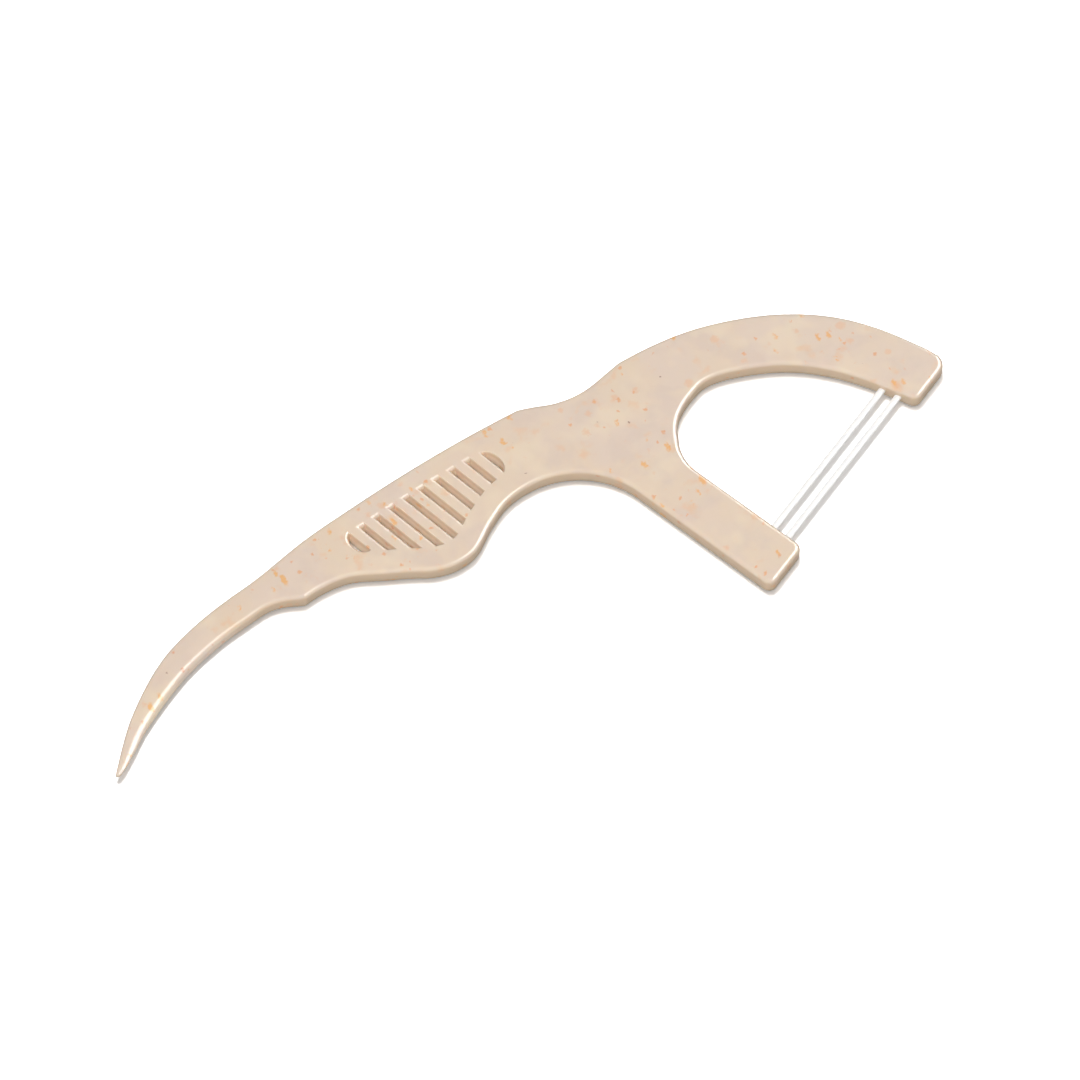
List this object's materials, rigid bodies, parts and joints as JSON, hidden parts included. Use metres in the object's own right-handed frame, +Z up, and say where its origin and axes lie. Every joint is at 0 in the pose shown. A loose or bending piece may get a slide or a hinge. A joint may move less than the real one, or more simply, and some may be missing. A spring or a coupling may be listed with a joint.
{
  "type": "floss pick",
  "caption": "Flat moulded floss pick: a slotted grip, a curved tapering toothpick and an open bow that holds parallel strands of floss.",
  "frame": {"origin": "centre of the bounding box, on the flat underside that the pick lies on", "axes": "+X along the handle from the toothpick to the bow, +Y across the handle to its plain back edge, +Z up out of the flat upper face"},
  "size_m": [0.0808, 0.0254, 0.0017],
  "materials": {
    "moulded_bioplastic": "satin, speckled with plant fibre",
    "floss_fibre": "taut waxed filaments"
  },
  "bodies": {
    "root": {"pick_body": "moulded_bioplastic", "floss_strand_inner": "floss_fibre", "floss_strand_outer": "floss_fibre"}
  },
  "joints": []
}
